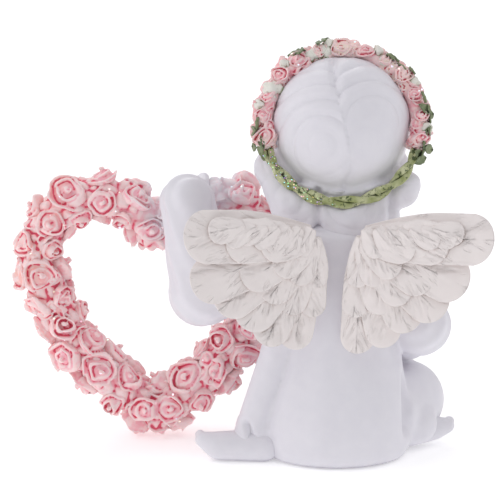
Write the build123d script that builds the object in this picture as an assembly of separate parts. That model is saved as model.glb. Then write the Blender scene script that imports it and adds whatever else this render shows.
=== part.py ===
"""Resin angel figurine: a seated child angel that holds a rose-covered heart wreath at its left side.

Millimetres, +Z up. The angel faces -Y and its wings spread on the +Y side. The pieces are modelled about a
datum on the ground, and moved at the end so that the origin is the middle of the figurine's footprint.
A place of the body is (from the spine to the angel's left, y, z), and of the head (from the head's middle).
"""
from build123d import *
from math import acos, cos, degrees, radians, sin, sqrt, tan
import os

# ---- body: driving dimensions -----------------------------------------------------------------------------
SPINE_X = -17.2           # the spine, to the right of the datum
BODY_Y = 1.0
SEAT_HALF_W = 15.2        # the gown where it sits on the ground
SEAT_HALF_D = 13.0
SEAT_Z = 9.0
HEM_INSET = 0.8           # the hem's edge stands in from the seat
WAIST_HALF_W = 12.6
WAIST_HALF_D = 9.8
WAIST_Z = 26.0
SHOULDER_HALF_W = 11.8
SHOULDER_HALF_D = 8.4
SHOULDER_Z = 39.0
COLLAR_HALF_W = 7.3
COLLAR_HALF_D = 5.9
COLLAR_Z = 46.5           # the bare neck leaves the gown here
NECK_R = 5.6
NECK_TOP_Z = 56.0
FLOOR_GAP = 0.4           # what does not carry the figurine stays this far off the ground

# ---- limbs: driving dimensions ----------------------------------------------------------------------------
BAR_SHARE = 0.96          # a limb's bars are this share of its joints, so that the joints stay round
BAR_TAPER = 0.999         # keeps a bar between two equal joints a cone
SHOULDER_R = 5.6
SHOULDER_PLACE = (9.4, 0.0)
LEFT_ELBOW_R = 6.9
LEFT_ELBOW = (26.8, -0.6, 33.4)
LEFT_WRIST_R = 5.4
LEFT_WRIST = (29.9, -4.8, 51.0)
RIGHT_ELBOW_R = 6.0
RIGHT_ELBOW = (-17.0, 1.0, 26.8)
RIGHT_WRIST_R = 3.5
RIGHT_WRIST = (-13.8, -11.2, 19.8)
HAND_SHARE = 0.8          # the root of a hand, inside its cuff
PALM_R = 2.9
RIGHT_PALM = (-11.8, -15.0, 16.8)
FINGER_R = 1.15
FINGER_PITCH = 2.05
FINGER_RISE = 0.35        # from the wreath's core to the middle line of the fingers that hold it
FINGER_REACH = (0.5, -3.2, -2.6)
HIP_R = 7.4
HIP_PLACE = (7.0, 4.0)
LEFT_KNEE_R = 6.8
LEFT_KNEE = (11.5, -12.5)
LEFT_ANKLE_R = 5.4
LEFT_ANKLE = (15.0, 2.2)
RIGHT_KNEE_R = 8.0
RIGHT_KNEE = (-14.2, -10.4)
RIGHT_ANKLE_R = 5.0
RIGHT_ANKLE = (-15.6, -3.4)
LAP_R = 5.6
LAP_HALF_W = 6.0
LAP_Y = -10.0
HEEL_R = 3.3
BALL_R = 2.8
TOE_R = 1.25
TOE_REACH = 0.55          # the great toe's tip, past the ball of the foot
TOE_STEP = 0.22           # each toe ends this much before its neighbour
LEFT_HEEL = (19.0, 4.5)
LEFT_BALL = (24.3, 3.6)
RIGHT_HEEL = (-17.8, -6.4)
RIGHT_BALL = (-20.6, -7.8)

# ---- head, hair and crown: driving dimensions -------------------------------------------------------------
HEAD_R = 13.0
HAIR_T = 0.9
HEAD_FROM_SPINE = -0.9
HEAD_Y = -3.0
HEAD_Z = 66.9
HEAD_TURN = 14.0          # the face turns this many degrees towards the wreath
FACE_OPENING_R = 10.4
SWIRL_APART = 19.0        # degrees from the back of the head to the middle of each swirl of hair
SWIRL_DROP = 4.0
LOCK_STEP = 17.0          # degrees between the furrows of a swirl
LOCKS = 3
PARTING = 0.4             # the parting, to the angel's left of the head's middle
FURROW_R = 0.55
PARTING_R = 0.7
CURL_R = 5.0              # the rolled curls under the crown, at the nape
CURLS = (                 # from the left ear round to the right one: a place of the head, a share of CURL_R
    (14.2, 0.6, -8.0, 0.68),
    (9.2, 4.6, -14.8, 1.0),
    (-1.4, 6.0, -16.2, 1.03),
    (-11.4, 3.6, -11.5, 0.84),
)
CROWN_GAP = 1.8           # from the hair to the crown's line
CROWN_TILT = 29.0         # the crown leans this many degrees forward
CROWN_SETBACK = 3.0       # the crown's plane, behind the middle of the head
CROWN_DROP = 0.9          # the crown's middle, towards the nape
CROWN_BAND_R = 1.7
BAND_INSET = 0.3          # the flower band lies this much inside the vine
VINE_R = 0.6
VINE_TWIST_R = 0.72       # from the crown's line to the middle of each twisted strand
VINE_TWISTS = 3
VINE_POINTS = 6           # points of a strand's route in each of its turns
VINE_HALF_ARC = 72.0      # degrees of bare vine each side of the nape
VINE_FIT = 0.1            # clearance of the vine in its groove, and before the flower band
CROWN_ROSES = 13
CROWN_ROSE_R = 1.85
BACK_LEAN = 76.0          # degrees that the crown's back roses lean back from its outward line
FRONT_LEAN = -30.0
BUD_LEAN = 38.0
CROWN_BUD_R = 0.9

# ---- wings: driving dimensions ----------------------------------------------------------------------------
WING_ROOT_HALF = 5.0      # from the spine to the root of each wing
WING_ROOT_Z = 48.2
WING_STAND_OFF = 2.0      # from the gown's back to the wing
WING_SWEEP = 20.0         # degrees that each wing sweeps back
LEFT_WING_RAISE = 6.0
RIGHT_WING_RAISE = 4.0
WING_LEAN = 6.0           # degrees that the lower feathers stand off the back
WING_SPAN = 28.0          # the uppermost feather, from the root
WING_DROP = 24.0          # the innermost feather, which hangs beside the spine
WING_ARM_R = 2.6
WING_ARM_SEAT = (-1.4, 3.4, -6.2)      # from the root: outward, down, and into the gown's back
FEATHERS = 6
OUTER_FEATHER_W = 9.4
INNER_FEATHER_W = 5.6
FEATHER_T = 1.3           # thickness of one row of feathers
FEATHER_TWIST = 7.0       # degrees that each feather turns, so that one edge lies over the next feather
FAN_REACH = 98.0          # degrees from the uppermost feather to the innermost one
FAN_EVENNESS = 0.82       # under 1, the upper feathers stand further apart than the lower ones
MIDDLE_SHARE = 0.68
SHORT_SHARE = 0.42

# ---- heart wreath: driving dimensions ---------------------------------------------------------------------
WREATH_X = 18.9
WREATH_Y = -14.0
LOBE_R = 12.0             # of the middle line of the wreath's tube
LOBE_OFFSET = 11.4
LOBE_Z = 37.7
SIDE_START = 14.3         # degrees under the horizontal where a lobe runs into its side
TIP_Z = 6.6
CORE_R = 3.8
ROSE_R = 3.5
ROSE_HEIGHT = 0.62        # of a rose's radius
ROSE_FLARE = 24.0         # degrees
ROSE_SEAT = 0.9           # how deep a rose's foot reaches before it is fitted to the core
ROSE_GAP = 0.2
ROSE_STATIONS = 13        # rings of roses on each half of the heart
CRUMB = 0.05              # a cut leaves no solid under this volume


# ---- shared operations ------------------------------------------------------------------------------------
def ball(point, radius):
    """A ball about a point."""
    return Pos(*point) * Sphere(radius)


def on_body(place, height=None):
    """The point of a place of the body; height is given where the place has none."""
    return (SPINE_X + place[0], place[1], place[2] if height is None else height)


def limb(*joints):
    """A round limb through joints of (point, radius): a ball at each joint and a tapered bar between two."""
    shape = None
    for (start, start_r), (end, end_r) in zip(joints, joints[1:]):
        axis = Vector(*end) - Vector(*start)
        bar = Cone(
            start_r * BAR_SHARE,
            end_r * BAR_SHARE * BAR_TAPER,
            axis.length,
            align=(Align.CENTER, Align.CENTER, Align.MIN),
        )
        if shape is None:
            bar += Sphere(start_r)
        bar += Pos(0, 0, axis.length) * Sphere(end_r)
        link = Plane(origin=start, z_dir=axis).location * bar
        shape = link if shape is None else shape + link
    return shape


def rose(radius, seat_depth=ROSE_SEAT):
    """An open rose on z = 0: five flared outer petals round a pocket, a turned bud inside, a foot below."""
    height = radius * ROSE_HEIGHT
    foot_r = radius - height * tan(radians(ROSE_FLARE)) / cos(radians(36))
    stock = height + seat_depth
    outer = extrude(RegularPolygon(foot_r, 5), stock, taper=-ROSE_FLARE * height / stock)
    pocket_h = height * 0.7
    pocket = extrude(RegularPolygon(foot_r * 0.72, 5), pocket_h + 0.1, taper=-ROSE_FLARE)
    pocket = Pos(0, 0, stock - pocket_h) * pocket
    bud = Pos(0, 0, height * 0.2) * Rot(0, 0, 36) * extrude(RegularPolygon(radius * 0.52, 5), stock, taper=9)
    return Pos(0, 0, -seat_depth) * (outer - pocket + bud)


def seat(shape, point, outward):
    """Stand a shape modelled on z = 0 at a point of a surface, along that surface's outward direction."""
    return Plane(origin=point, z_dir=outward).location * shape


def solids_of(shape):
    """The separate solids of a cut shape, without crumbs."""
    return [solid for solid in shape.solids() if solid.volume > CRUMB]


def main_solid(shape):
    """The largest solid of a cut shape: what a cut leaves on the far side of its neighbour is dropped."""
    return max(shape.solids(), key=lambda solid: solid.volume)


def group(shapes):
    """Separate solids that share one node."""
    return Compound(children=[solid for shape in shapes for solid in solids_of(shape)])


def clear_of(shape, others, clearance=ROSE_GAP):
    """Whether a shape keeps clear of all the others; near boxes alone are measured exactly."""
    box = shape.bounding_box()
    for other in others:
        rival = other.bounding_box()
        apart = max(
            max(box.min.X, rival.min.X) - min(box.max.X, rival.max.X),
            max(box.min.Y, rival.min.Y) - min(box.max.Y, rival.max.Y),
            max(box.min.Z, rival.min.Z) - min(box.max.Z, rival.max.Z),
        )
        if apart < clearance and shape.distance_to(other) < clearance:
            return False
    return True


# ---- gown and neck: one lofted form, parted where the neck leaves the collar ------------------------------
gown_sections = [
    (0.0, SEAT_HALF_W - HEM_INSET, SEAT_HALF_D - HEM_INSET),
    (SEAT_Z * 0.35, SEAT_HALF_W - 0.25 * HEM_INSET, SEAT_HALF_D - 0.25 * HEM_INSET),
    (SEAT_Z, SEAT_HALF_W, SEAT_HALF_D),
    (WAIST_Z, WAIST_HALF_W, WAIST_HALF_D),
    (SHOULDER_Z, SHOULDER_HALF_W, SHOULDER_HALF_D),
    (COLLAR_Z, COLLAR_HALF_W, COLLAR_HALF_D),
    (NECK_TOP_Z, NECK_R, NECK_R),
]
figure = loft([Pos(SPINE_X, BODY_Y, z) * Ellipse(w, d) for z, w, d in gown_sections])
collar_cut = Plane.XY.offset(COLLAR_Z)
gown = split(figure, bisect_by=collar_cut, keep=Keep.BOTTOM)
neck = split(figure, bisect_by=collar_cut, keep=Keep.TOP)

# ---- folded legs under the gown, and the bare feet that show beside it ------------------------------------
def leg(side, knee, knee_r, ankle, ankle_r):
    """One folded leg: thigh forward to the knee, shin back beside it. side is 1 for the angel's left."""
    hip = on_body((side * HIP_PLACE[0], HIP_PLACE[1]), HIP_R + FLOOR_GAP)
    knee_joint = on_body(knee, knee_r + FLOOR_GAP)
    ankle_joint = on_body(ankle, ankle_r + FLOOR_GAP)
    return limb((hip, HIP_R), (knee_joint, knee_r), (ankle_joint, ankle_r))


def foot(heel_place, ball_place, side):
    """A bare foot from heel to ball, with five toes that shorten towards the outer one."""
    heel = on_body(heel_place, HEEL_R + FLOOR_GAP)
    toe_root = on_body(ball_place, BALL_R + FLOOR_GAP)
    shape = limb((heel, HEEL_R), (toe_root, BALL_R))
    along = (Vector(*toe_root) - Vector(*heel)).normalized()
    across = along.cross(Vector(0, 0, 1)).normalized() * side
    for number in range(5):
        spread = across * (number - 2) * BALL_R * 0.42
        tip = Vector(*toe_root) + spread + along * (BALL_R + TOE_REACH - TOE_STEP * number)
        radius = TOE_R * (1.15 if number == 0 else 0.9 - 0.05 * number)
        root = Vector(*toe_root) + spread * 0.7
        shape += limb((tuple(root), radius), ((tip.X, tip.Y, radius + FLOOR_GAP), radius))
    return shape


left_leg = main_solid(leg(1, LEFT_KNEE, LEFT_KNEE_R, LEFT_ANKLE, LEFT_ANKLE_R) - figure)
right_leg = main_solid(leg(-1, RIGHT_KNEE, RIGHT_KNEE_R, RIGHT_ANKLE, RIGHT_ANKLE_R) - figure)
left_foot = main_solid(foot(LEFT_HEEL, LEFT_BALL, 1) - left_leg - figure)
right_foot = main_solid(foot(RIGHT_HEEL, RIGHT_BALL, -1) - right_leg - figure)

# ---- the lap: the gown's skirt, stretched between the knees -----------------------------------------------
lap_ends = [on_body((side * LAP_HALF_W, LAP_Y), LAP_R + FLOOR_GAP) for side in (1, -1)]
lap_stock = limb((lap_ends[0], LAP_R), (lap_ends[1], LAP_R))
gown_lap = main_solid(lap_stock - left_leg - right_leg - figure)

# ---- sleeves and hands: the left hand grips the top of the wreath, the right one rests on the knee --------
left_shoulder = on_body(SHOULDER_PLACE, SHOULDER_Z)
right_shoulder = on_body((-SHOULDER_PLACE[0], SHOULDER_PLACE[1]), SHOULDER_Z)
left_wrist = on_body(LEFT_WRIST)
right_wrist = on_body(RIGHT_WRIST)
left_sleeve_stock = limb(
    (left_shoulder, SHOULDER_R), (on_body(LEFT_ELBOW), LEFT_ELBOW_R), (left_wrist, LEFT_WRIST_R)
)
right_sleeve_stock = limb(
    (right_shoulder, SHOULDER_R), (on_body(RIGHT_ELBOW), RIGHT_ELBOW_R), (right_wrist, RIGHT_WRIST_R)
)

# ---- heart wreath: a round core on a heart line of four arcs, mitred at the notch and at the tip ----------
past_mitre = 9.0          # degrees of stock past the middle plane, cut off to make each mitre
lobe_centre = Vector(WREATH_X + LOBE_OFFSET, WREATH_Y, LOBE_Z)
notch_angle = degrees(acos(-LOBE_OFFSET / LOBE_R))


def polar(angle, radius):
    """A radius in the wreath's plane, at an angle above the horizontal."""
    return Vector(radius * cos(radians(angle)), 0, radius * sin(radians(angle)))


side_top = lobe_centre + polar(-SIDE_START, LOBE_R)
tip = Vector(WREATH_X, WREATH_Y, TIP_Z)
side_chord = tip - side_top
side_turn = polar(-SIDE_START - 90, 1).get_angle(side_chord)      # half of what the side turns
side_r = side_chord.length / (2 * sin(radians(side_turn)))
side_centre = side_top - polar(-SIDE_START, side_r)
side_end = -SIDE_START - 2 * side_turn

lobe_line = ThreePointArc(
    lobe_centre + polar(notch_angle + past_mitre, LOBE_R), lobe_centre + polar(75, LOBE_R), side_top
)
side_line = ThreePointArc(
    side_top,
    side_centre + polar(-SIDE_START - side_turn, side_r),
    side_centre + polar(side_end - past_mitre, side_r),
)
core_start = Plane(origin=lobe_line @ 0, z_dir=lobe_line % 0)
core_stock = sweep(core_start * Circle(CORE_R), path=Wire([lobe_line, side_line]))
middle_plane = Plane.YZ.offset(WREATH_X)
left_half = split(core_stock, bisect_by=middle_plane, keep=Keep.TOP)
core = left_half + mirror(left_half, about=middle_plane)

# ---- the left hand closes over the core beside the notch --------------------------------------------------
def core_top(x):
    """The height of the core's middle line at a place along the top of either lobe."""
    reach = abs(x - WREATH_X) - LOBE_OFFSET
    return LOBE_Z + sqrt(LOBE_R**2 - reach**2)


def grip(x, angle, radius):
    """A point round the core: 0 degrees faces the angel, 90 is up, 180 is away from it."""
    return (x, WREATH_Y + radius * cos(radians(angle)), core_top(x) + radius * sin(radians(angle)))


palm_x = left_wrist[0]
finger_line_r = CORE_R + FINGER_RISE
left_palm = grip(palm_x, 34, CORE_R + PALM_R * 0.7)
left_hand_stock = limb((left_wrist, LEFT_WRIST_R * HAND_SHARE), (left_palm, PALM_R))
for number in range(4):
    x = palm_x + (number - 1.5) * FINGER_PITCH
    knuckle = grip(x, 58, finger_line_r)
    middle = grip(x, 92, finger_line_r)
    end = grip(x, 132 - 6 * abs(number - 1.5), finger_line_r)
    left_hand_stock += limb((knuckle, FINGER_R * 1.1), (middle, FINGER_R), (end, FINGER_R * 0.9))

right_palm = on_body(RIGHT_PALM)
right_hand_stock = limb((right_wrist, RIGHT_WRIST_R * HAND_SHARE), (right_palm, PALM_R))
for number in range(4):
    spread = (number - 1.2) * FINGER_PITCH * 0.8
    knuckle = Vector(*right_palm) + Vector(spread, -PALM_R * 0.62, -PALM_R * 0.2)
    end = knuckle + Vector(*FINGER_REACH)
    right_hand_stock += limb((tuple(knuckle), FINGER_R * 1.1), (tuple(end), FINGER_R * 0.95))

left_hand = main_solid(left_hand_stock - core)
left_sleeve = main_solid(left_sleeve_stock - figure - left_hand - core)
right_hand = main_solid(right_hand_stock - right_leg - gown_lap)
right_sleeve = main_solid(right_sleeve_stock - figure - right_hand - right_leg)

# ---- roses: rings of four round the core, every second ring turned by half a step -------------------------
half_length = LOBE_R * radians(notch_angle + SIDE_START) + side_r * radians(2 * side_turn)
station_pitch = half_length / ROSE_STATIONS


def station(distance):
    """The centre, outward direction and radius of bend of the half heart, a distance from the notch."""
    lobe_length = LOBE_R * radians(notch_angle + SIDE_START)
    if distance < lobe_length:
        angle = notch_angle - degrees(distance / LOBE_R)
        return lobe_centre + polar(angle, LOBE_R), polar(angle, 1), LOBE_R
    angle = -SIDE_START - degrees((distance - lobe_length) / side_r)
    return side_centre + polar(angle, side_r), polar(angle, 1), side_r


def rose_radius(turn, bend_r, number):
    """A rose's radius: what its neighbours leave it, and a little less for two of every three."""
    rim_r = CORE_R + ROSE_R * 0.55
    crowding = (bend_r + rim_r * cos(radians(turn))) / bend_r
    spacing = sqrt((station_pitch * crowding) ** 2 + (radians(45) * rim_r) ** 2)
    return min(ROSE_R, spacing / 2 - ROSE_GAP / 2) * (1.0 - 0.07 * (number % 3))


row_names = ("rim", "back", "inner", "front")
rose_rows = {name: [] for name in row_names}
wreath_neighbours = [left_hand, left_sleeve, right_sleeve, left_leg, left_foot, gown]
for ring in range(ROSE_STATIONS):
    centre, outward, bend_r = station((ring + 0.5) * station_pitch)
    for step in range(4):
        turn = 90 * step + 45 * (ring % 2)
        up = outward * cos(radians(turn)) + Vector(0, 1, 0) * sin(radians(turn))
        radius = rose_radius(turn, bend_r, ring + step)
        bloom = seat(Rot(0, 0, 25 * ring) * rose(radius), centre + up * CORE_R, up) - core
        if bloom.volume < radius**3 * 0.5:
            continue
        rose_rows[row_names[step]].append(bloom)
        twin = mirror(bloom, about=middle_plane)
        if clear_of(twin, wreath_neighbours):
            rose_rows[row_names[step]].append(twin)

# ---- head: a round skull with full cheeks, chin, nose and ears, turned towards the wreath -----------------
head_centre = Vector(SPINE_X + HEAD_FROM_SPINE, HEAD_Y, HEAD_Z)
head_place = Pos(head_centre) * Rot(0, 0, HEAD_TURN)
skull = Sphere(HEAD_R)
for side in (1, -1):
    skull += ball((side * HEAD_R * 0.36, -HEAD_R * 0.66, -HEAD_R * 0.34), HEAD_R * 0.42)
    skull += ball((side * HEAD_R * 0.97, -HEAD_R * 0.02, -HEAD_R * 0.16), HEAD_R * 0.16)
skull += ball((0, -HEAD_R * 0.8, -HEAD_R * 0.62), HEAD_R * 0.24)
skull += ball((0, -HEAD_R * 1.0, -HEAD_R * 0.19), HEAD_R * 0.1)
head = main_solid(head_place * skull - neck - figure)

# ---- hair: a cap open round the face, combed in two swirls, and a roll of curls at the nape ---------------
hair_r = HEAD_R + HAIR_T
opening = Cylinder(FACE_OPENING_R, 2 * hair_r, align=(Align.CENTER, Align.CENTER, Align.MIN))
cap = Sphere(hair_r) - Pos(0, 0, -HEAD_R * 0.3) * Rot(90, 0, 0) * opening
hair_cap = head_place * (cap - skull)
parting_plane = Plane.YZ.offset(head_centre.X + PARTING)
for side, kept in ((1, Keep.TOP), (-1, Keep.BOTTOM)):
    apart = radians(SWIRL_APART)
    drop = radians(SWIRL_DROP)
    swirl = Vector(side * sin(apart) * cos(drop), cos(apart) * cos(drop), -sin(drop))
    for number in range(LOCKS):
        angle = radians(LOCK_STEP * (number + 1))
        ring = Torus(hair_r * sin(angle), FURROW_R)
        ring = Plane(origin=head_centre + swirl * hair_r * cos(angle), z_dir=swirl).location * ring
        hair_cap -= split(ring, bisect_by=parting_plane, keep=kept)
parting_r = sqrt(hair_r**2 - PARTING**2)
parting_ring = parting_plane.location * Pos(HEAD_Y, HEAD_Z, 0) * Torus(parting_r, PARTING_R)
hair_cap -= split(parting_ring, bisect_by=Plane.XY.offset(HEAD_Z), keep=Keep.TOP)
hair_cap = main_solid(hair_cap - figure)

tilt = radians(CROWN_TILT)
crown_r = hair_r + CROWN_GAP
crown_axis = Vector(0, cos(tilt), sin(tilt))
crown_down = Vector(0, sin(tilt), -cos(tilt))
crown_centre = head_centre + crown_axis * CROWN_SETBACK + crown_down * CROWN_DROP
crown_frame = Plane(origin=crown_centre, x_dir=(1, 0, 0), z_dir=crown_axis)

curls = [(tuple(head_centre + Vector(x, y, z)), CURL_R * share) for x, y, z, share in CURLS]
vine_groove = crown_frame.location * Torus(crown_r, VINE_TWIST_R + VINE_R + VINE_FIT)
nape_curls = limb(*curls) - ball(head_centre, hair_r) - head - neck - figure - vine_groove
nape_curls = main_solid(nape_curls)


# ---- crown: a band over the brow, two twisted vine strands round the nape, roses and buds -----------------
def round_crown(angle, radius=crown_r, rise=0.0):
    """A point by the crown: 0 degrees is the nape, 90 the angel's left; rise is off the crown's plane."""
    turn = radians(angle)
    return crown_frame.from_local_coords(Vector(radius * sin(turn), radius * cos(turn), rise))


def vine_strand(phase):
    """One strand of the twisted vine: runs through points round the crown's line, joined by arcs."""
    steps = VINE_POINTS * VINE_TWISTS
    points = []
    for step in range(steps + 1):
        angle = VINE_HALF_ARC * (2 * step / steps - 1)
        wind = radians(phase + 360 * step / VINE_POINTS)
        points.append(round_crown(angle, crown_r + VINE_TWIST_R * cos(wind), VINE_TWIST_R * sin(wind)))
    bends = []
    for before, point, after in zip(points, points[1:], points[2:]):
        turn = (point - before).get_angle(after - point)
        run = min((point - before).length, (after - point).length)
        bends.append(0.45 * run / tan(radians(turn / 2)))
    path = FilletPolyline(*points, radius=bends)
    start = Plane(origin=path @ 0, z_dir=path % 0)
    strand = sweep(start * Circle(VINE_R), path=path)
    print("vine strand:", round(path.length, 1), "mm, tightest bend", round(min(bends), 2), "mm")
    return strand


vine_a = vine_strand(0)
vine_b = vine_strand(180)
band_line_r = crown_r - BAND_INSET
band_half_arc = VINE_HALF_ARC + degrees((CROWN_BAND_R * 0.2 + VINE_FIT) / crown_r)
band_points = [round_crown(angle, band_line_r) for angle in (band_half_arc, 180, -band_half_arc)]
band_line = ThreePointArc(*band_points)
crown_band = sweep(Plane(origin=band_line @ 0, z_dir=band_line % 0) * Circle(CROWN_BAND_R), path=band_line)
crown_band = crown_band - vine_a - vine_b - nape_curls - ball(head_centre, hair_r) - head
crown_band = main_solid(crown_band)


def crown_flower(angle, lean, shape):
    """A flower seated on the crown's band. lean is degrees off the crown's outward line, to the back."""
    root = round_crown(angle, band_line_r)
    radial = (root - crown_centre).normalized()
    up = radial * cos(radians(lean)) + crown_axis * sin(radians(lean))
    return seat(shape, root + up * CROWN_BAND_R, up) - ball(head_centre, hair_r)


crown_roses_back = []
crown_roses_front = []
crown_buds = []
end_margin = degrees(CROWN_ROSE_R * 1.05 / crown_r)
first_rose = VINE_HALF_ARC + end_margin
rose_step = (360 - 2 * first_rose) / (CROWN_ROSES - 1)
for number in range(CROWN_ROSES):
    angle = first_rose + rose_step * number
    size = CROWN_ROSE_R * (1.0 - 0.08 * (number % 3))
    crown_roses_back.append(crown_flower(angle, BACK_LEAN, Rot(0, 0, 31 * number) * rose(size, 0)))
    between = angle + 0.5 * rose_step
    crown_roses_front.append(crown_flower(between, FRONT_LEAN, Rot(0, 0, 19 * number) * rose(size, 0)))
    if number % 2:
        bud = Pos(0, 0, CROWN_BUD_R) * Sphere(CROWN_BUD_R)
        crown_buds.append(crown_flower(between, BUD_LEAN, bud))
crown_roses_front.pop()

# ---- wings: each a root arm that carries three rows of feathers, spread as a fan --------------------------
wing_y = BODY_Y + WAIST_HALF_D + WING_STAND_OFF


def feather(length, width):
    """A feather from the root at the origin along +X, round at its end, turned a little about its quill."""
    outline = make_face(
        Wire(
            [
                Line((0, -0.2 * width), (0, 0.2 * width)),
                ThreePointArc((0, 0.2 * width), (0.55 * length, 0.5 * width), (0.88 * length, 0.4 * width)),
                ThreePointArc((0.88 * length, 0.4 * width), (length, 0), (0.88 * length, -0.4 * width)),
                ThreePointArc(
                    (0.88 * length, -0.4 * width), (0.55 * length, -0.5 * width), (0, -0.2 * width)
                ),
            ]
        )
    )
    return Rot(FEATHER_TWIST, 0, 0) * extrude(outline, FEATHER_T / 2, both=True)


def feather_row(count, share, lift, spare=0.0):
    """A fan of feathers as one piece. share is of a full feather's length, lift is towards the back."""
    row = None
    for number in range(count):
        place = (number / (count - 1)) ** FAN_EVENNESS
        droop = spare + (FAN_REACH - 2 * spare) * place
        length = (WING_DROP + (WING_SPAN - WING_DROP) * max(0, cos(radians(droop))) ** 4) * share
        width = (OUTER_FEATHER_W + (INNER_FEATHER_W - OUTER_FEATHER_W) * place) * (0.45 + 0.55 * share)
        blade = Pos(0, 0, lift) * Rot(0, 0, droop) * feather(length, width)
        row = blade if row is None else row + blade
    return row


def wing(raised, side):
    """A wing's arm, long feathers and two rows of coverts; x runs outward, y down, z to the back."""
    arm = limb(
        (WING_ARM_SEAT, WING_ARM_R * 0.9),
        ((1.8, 0.2, 0.2), WING_ARM_R),
        ((WING_SPAN * 0.38, -WING_ARM_R * 0.85, 0.1), WING_ARM_R * 0.7),
        ((WING_SPAN * 0.64, -WING_ARM_R, 0.0), WING_ARM_R * 0.4),
    )
    long_row = feather_row(FEATHERS, 1.0, 0)
    middle_row = feather_row(FEATHERS - 1, MIDDLE_SHARE, FEATHER_T * 0.95, 5)
    short_row = feather_row(FEATHERS - 2, SHORT_SHARE, FEATHER_T * 1.9, 9)
    frame = Plane(
        origin=(SPINE_X + WING_ROOT_HALF, wing_y, WING_ROOT_Z),
        x_dir=(cos(radians(WING_SWEEP)), sin(radians(WING_SWEEP)), 0),
        z_dir=(-sin(radians(WING_SWEEP)), cos(radians(WING_SWEEP)), 0),
    )
    place = frame.location * Rot(WING_LEAN, 0, -raised)
    pieces = [place * shape for shape in (arm, long_row, middle_row, short_row)]
    if side < 0:
        pieces = [mirror(shape, about=spine_plane) for shape in pieces]
    arm, long_row, middle_row, short_row = pieces
    arm = arm - figure - nape_curls
    long_row = long_row - arm - figure - nape_curls
    middle_row = middle_row - long_row - arm
    short_row = short_row - middle_row - long_row - arm
    return [main_solid(shape) for shape in (arm, long_row, middle_row, short_row)]


spine_plane = Plane.YZ.offset(SPINE_X)
left_wing = wing(LEFT_WING_RAISE, 1)
right_wing = wing(RIGHT_WING_RAISE, -1)

# ---- the figurine's nodes, moved so that the origin is the middle of its footprint ------------------------
nodes = {
    "gown": gown,
    "gown_lap": gown_lap,
    "neck": neck,
    "left_leg": left_leg,
    "right_leg": right_leg,
    "left_foot": left_foot,
    "right_foot": right_foot,
    "left_sleeve": left_sleeve,
    "right_sleeve": right_sleeve,
    "left_hand": left_hand,
    "right_hand": right_hand,
    "head": head,
    "hair_cap": hair_cap,
    "nape_curls": nape_curls,
    "crown_band": crown_band,
    "crown_vine_a": vine_a,
    "crown_vine_b": vine_b,
    "crown_roses_back": group(crown_roses_back),
    "crown_roses_front": group(crown_roses_front),
    "crown_buds": group(crown_buds),
    "wreath_core": core,
}
for row_name, blooms in rose_rows.items():
    nodes["wreath_roses_" + row_name] = group(blooms)
for side_name, pieces in (("left", left_wing), ("right", right_wing)):
    for piece_name, piece in zip(("arm", "long_feathers", "middle_feathers", "short_feathers"), pieces):
        nodes[side_name + "_wing_" + piece_name] = piece

whole = Compound(children=[Compound(shape.solids()) for shape in nodes.values()]).bounding_box()
to_origin = Pos(-whole.center().X, -whole.center().Y, -whole.min.Z)
os.makedirs("parts", exist_ok=True)
for name, shape in nodes.items():
    solids = [to_origin * solid for solid in shape.solids()]
    export_step(solids[0] if len(solids) == 1 else Compound(solids), f"parts/{name}.step")
print("whole size", whole.size, "moved by", to_origin.position)
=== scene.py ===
from math import atan2, cos, degrees, exp, pi, radians, sin, sqrt
from random import Random

import bmesh
import bpy
from mathutils import Matrix, Vector, noise
from mathutils.bvhtree import BVHTree


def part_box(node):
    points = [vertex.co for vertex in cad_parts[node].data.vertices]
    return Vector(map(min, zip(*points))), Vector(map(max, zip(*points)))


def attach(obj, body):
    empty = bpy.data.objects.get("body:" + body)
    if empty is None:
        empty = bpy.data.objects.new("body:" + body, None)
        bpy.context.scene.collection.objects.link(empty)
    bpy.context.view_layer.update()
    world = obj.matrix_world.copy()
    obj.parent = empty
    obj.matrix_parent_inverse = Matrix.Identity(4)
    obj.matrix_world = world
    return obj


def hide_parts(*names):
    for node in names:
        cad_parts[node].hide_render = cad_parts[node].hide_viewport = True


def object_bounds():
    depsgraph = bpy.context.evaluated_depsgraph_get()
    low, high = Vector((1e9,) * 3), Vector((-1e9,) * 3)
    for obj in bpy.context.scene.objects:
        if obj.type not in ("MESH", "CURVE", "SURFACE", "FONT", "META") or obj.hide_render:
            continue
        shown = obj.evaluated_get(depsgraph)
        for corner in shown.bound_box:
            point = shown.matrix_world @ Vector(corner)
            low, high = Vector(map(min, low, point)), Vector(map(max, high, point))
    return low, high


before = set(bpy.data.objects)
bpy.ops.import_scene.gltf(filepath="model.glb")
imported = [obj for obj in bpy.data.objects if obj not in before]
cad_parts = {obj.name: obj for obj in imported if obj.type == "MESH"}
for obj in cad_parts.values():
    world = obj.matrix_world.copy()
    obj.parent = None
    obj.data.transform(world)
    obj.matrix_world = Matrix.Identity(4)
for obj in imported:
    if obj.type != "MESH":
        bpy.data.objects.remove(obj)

MM = 0.001
cad_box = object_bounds()
scene = bpy.context.scene
UP = Vector((0, 0, 1))


# ---- table, soft light and camera --------------------------------------------------------------------------
# The figurine stands on a pale table in a light tent. The tent's walls light its edges, and one weaker soft
# box stands beside the camera, which looks at the angel's back through a long lens.
VIEW_AZIMUTH = 180
VIEW_RISE = 14
VIEW_WIDTH = 100 * MM
VIEW_DISTANCE = 1.0
FILM_WIDTH = 36.0
FLOOR_REACH = 6.0


def new_material(name):
    """An empty node material: its tree and its shader."""
    material = bpy.data.materials.new(name)
    material.use_nodes = True
    return material, material.node_tree, material.node_tree.nodes["Principled BSDF"]


def wire(node, sockets):
    """Gives a shader node's sockets plain values or other nodes' outputs."""
    for key, value in sockets.items():
        if isinstance(value, bpy.types.NodeSocket):
            node.id_data.links.new(value, node.inputs[key])
        else:
            node.inputs[key].default_value = value


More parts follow.
